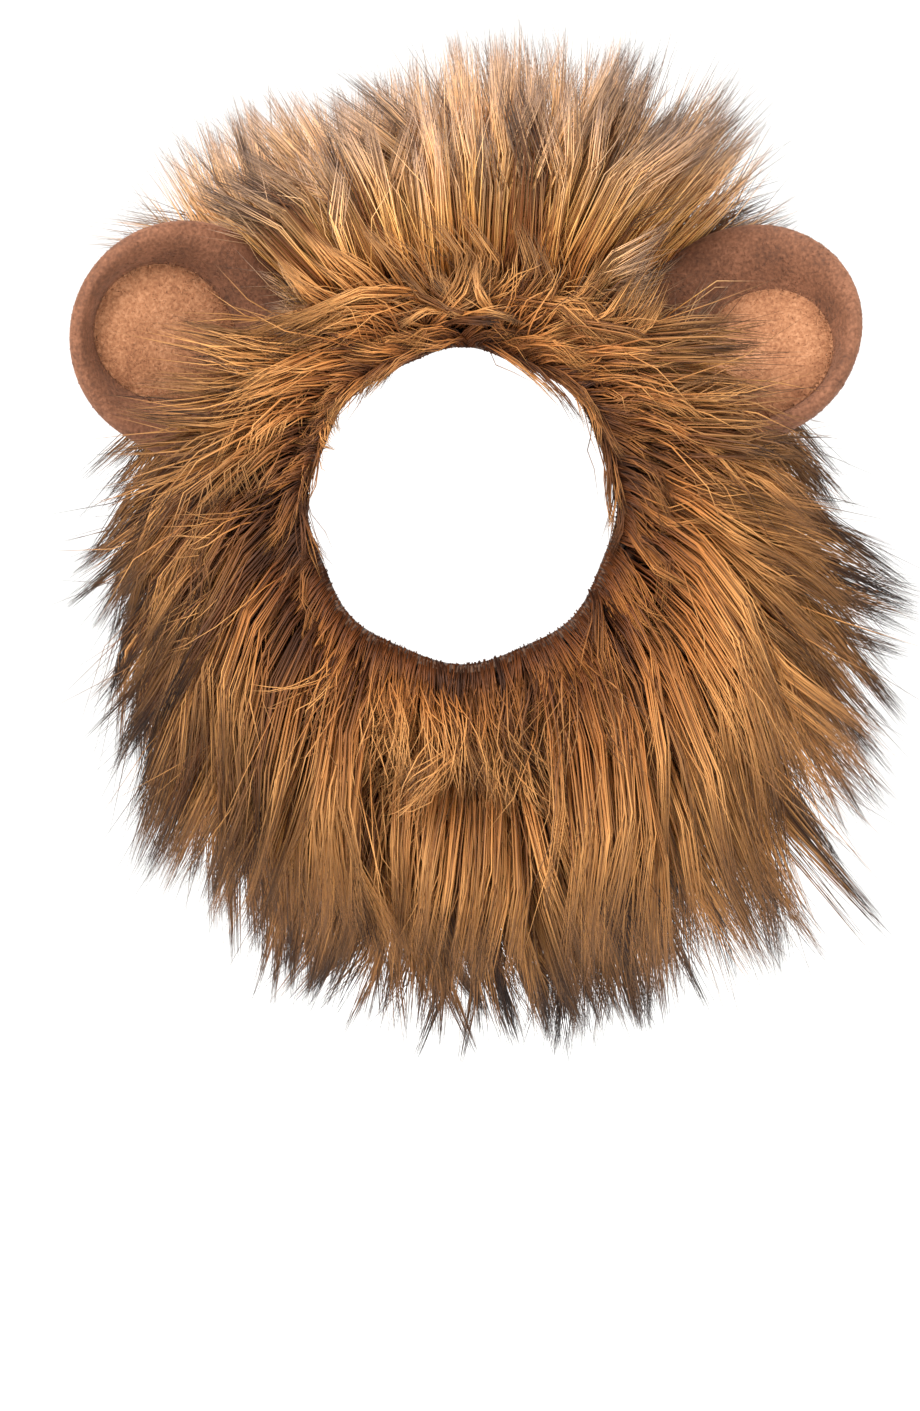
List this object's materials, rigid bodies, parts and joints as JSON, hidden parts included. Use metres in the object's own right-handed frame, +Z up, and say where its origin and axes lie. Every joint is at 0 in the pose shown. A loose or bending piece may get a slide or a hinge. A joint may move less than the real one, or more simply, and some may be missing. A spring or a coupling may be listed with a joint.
{
  "type": "pet lion mane wig",
  "caption": "Lion mane wig for a cat or small dog: a knitted hood with a face opening, covered in long-pile fur that fans up at the crown and hangs at the chest, with stuffed round ears.",
  "frame": {"origin": "inside the crown of the hood, halfway along it on the middle plane, where it rests on the wearer's head", "axes": "+X towards the wearer's left, +Y towards the wearer's back, +Z up; the face opening faces -Y"},
  "size_m": [0.2354, 0.1617, 0.2891],
  "materials": {
    "backing_knit": "brown polyester knit, matte",
    "crest_fur": "long-pile faux fur, golden tan with dark brown tips",
    "ruff_fur": "long-pile faux fur, mid brown with dark streaks",
    "bib_fur": "long-pile faux fur, golden brown with dark tips",
    "ear_plush": "short plush, brown",
    "ear_pad_plush": "short plush, light tan"
  },
  "bodies": {
    "root": {"hood": "backing_knit", "crest_fur": "crest_fur", "ruff_fur": "ruff_fur", "bib_fur": "bib_fur", "ear_shell_left": "ear_plush", "ear_shell_right": "ear_plush", "ear_lining_left": "ear_pad_plush", "ear_lining_right": "ear_pad_plush"}
  },
  "joints": []
}
